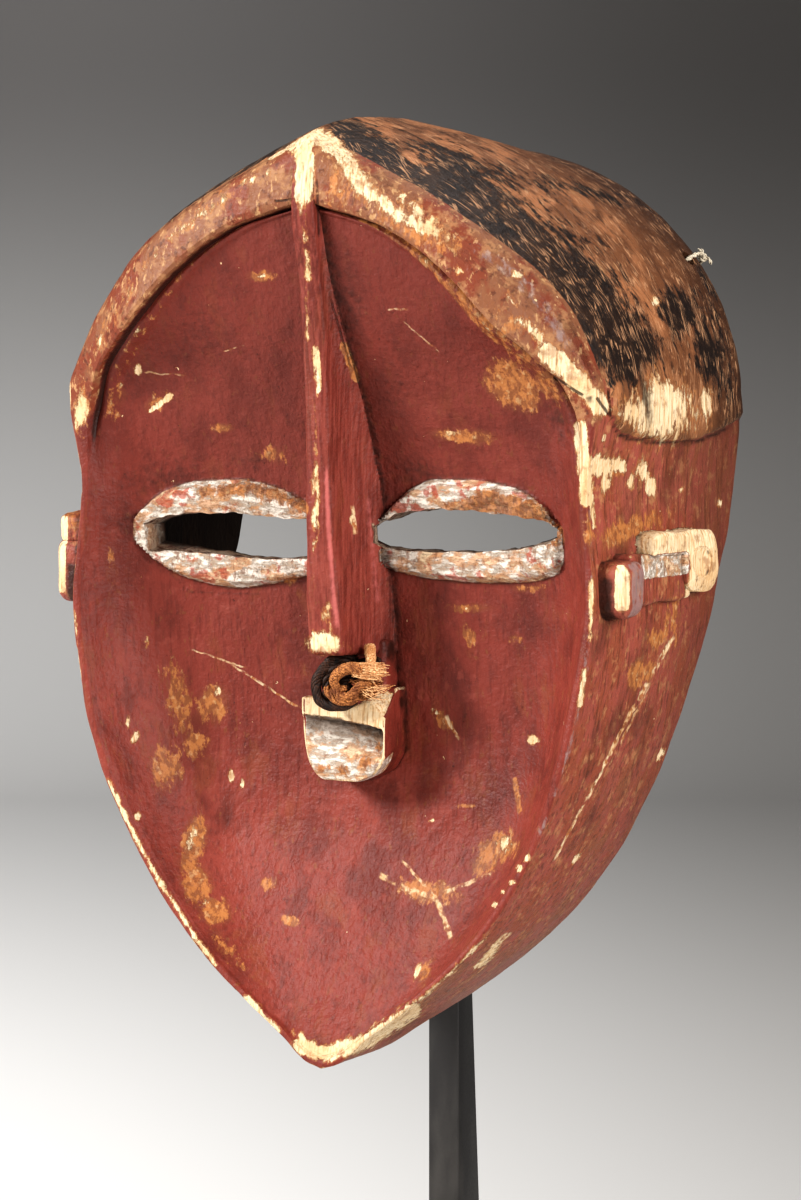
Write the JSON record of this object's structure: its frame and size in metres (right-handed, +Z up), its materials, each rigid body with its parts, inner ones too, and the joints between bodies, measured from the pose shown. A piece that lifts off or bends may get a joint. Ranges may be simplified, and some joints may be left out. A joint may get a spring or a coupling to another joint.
{
  "type": "lwalwa mask",
  "caption": "Tall carved wooden face mask with a concave red face, long straight nose, slit eyes, box mouth and domed cap, hollow behind, held on a steel post with a flat foot.",
  "frame": {"origin": "centre of the object's footprint, on the surface that the foot stands on", "axes": "+Z up, the face looks along -Y, +X is at the right of someone who looks at the face"},
  "size_m": [0.216, 0.1331, 0.4367],
  "materials": {
    "painted_wood": "worn matt red earth pigment over light wood",
    "plant_fibre": "coarse twisted plant fibre, frayed",
    "pale_twine": "thin pale twine",
    "dark_steel": "satin, blackened",
    "grey_felt": "matt felt"
  },
  "bodies": {
    "root": {"mask": "painted_wood", "nose_cord": "plant_fibre", "rim_twine": "pale_twine", "stand_post": "dark_steel", "stand_foot": "dark_steel", "chin_hook": "dark_steel", "face_rest": "dark_steel", "rest_pad": "grey_felt"}
  },
  "joints": []
}
